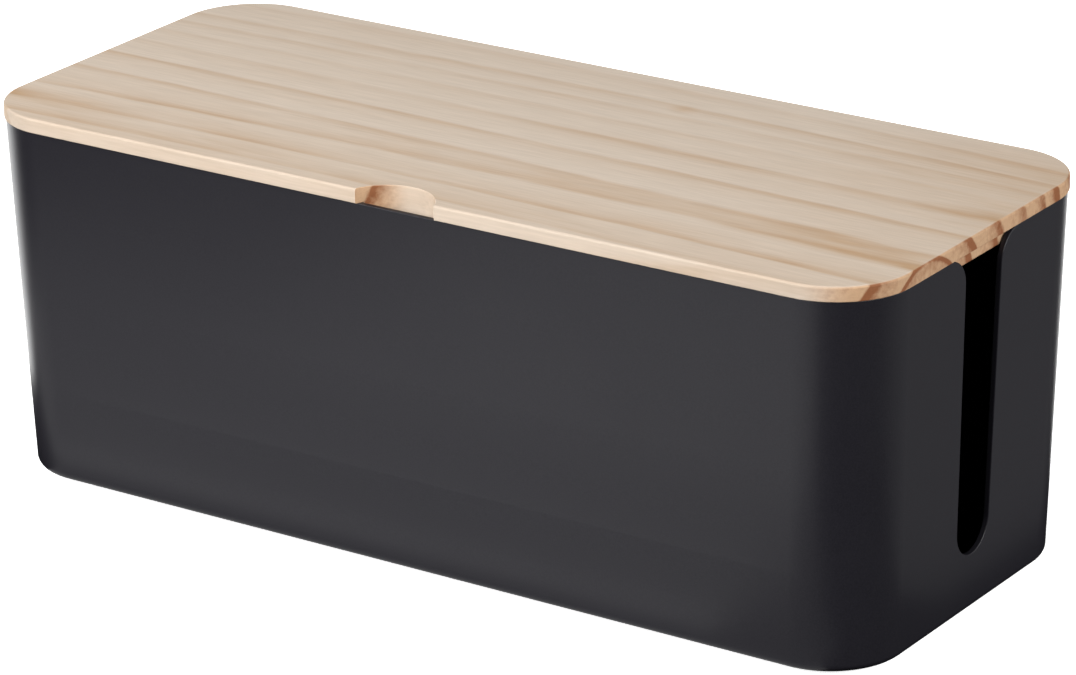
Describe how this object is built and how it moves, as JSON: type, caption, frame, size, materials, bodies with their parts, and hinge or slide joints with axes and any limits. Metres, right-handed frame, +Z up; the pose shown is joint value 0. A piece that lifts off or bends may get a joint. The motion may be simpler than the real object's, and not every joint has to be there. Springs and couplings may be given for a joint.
{
  "type": "cable management box",
  "caption": "Open-topped plastic box with a cable slot in each end, a lift-off wooden lid with a finger notch, and rubber feet, for hiding a power strip and its leads.",
  "frame": {"origin": "on the table, under the middle of the box", "axes": "+X along the length, -Y towards the finger notch in the lid, +Z up"},
  "size_m": [0.321, 0.136, 0.1222],
  "materials": {
    "moulded_plastic": "matte charcoal black, moulded",
    "pine": "sanded pine, unvarnished",
    "foot_rubber": "soft black rubber"
  },
  "bodies": {
    "bin": {"bin": "moulded_plastic", "foot_front_left": "foot_rubber", "foot_front_right": "foot_rubber", "foot_rear_left": "foot_rubber", "foot_rear_right": "foot_rubber"},
    "lid": {"lid": "pine"}
  },
  "joints": [
    {"name": "lid_lift", "type": "slide", "parent": "bin", "child": "lid", "axis": [0, 0, 1], "range_m": [0, 0.15]}
  ]
}
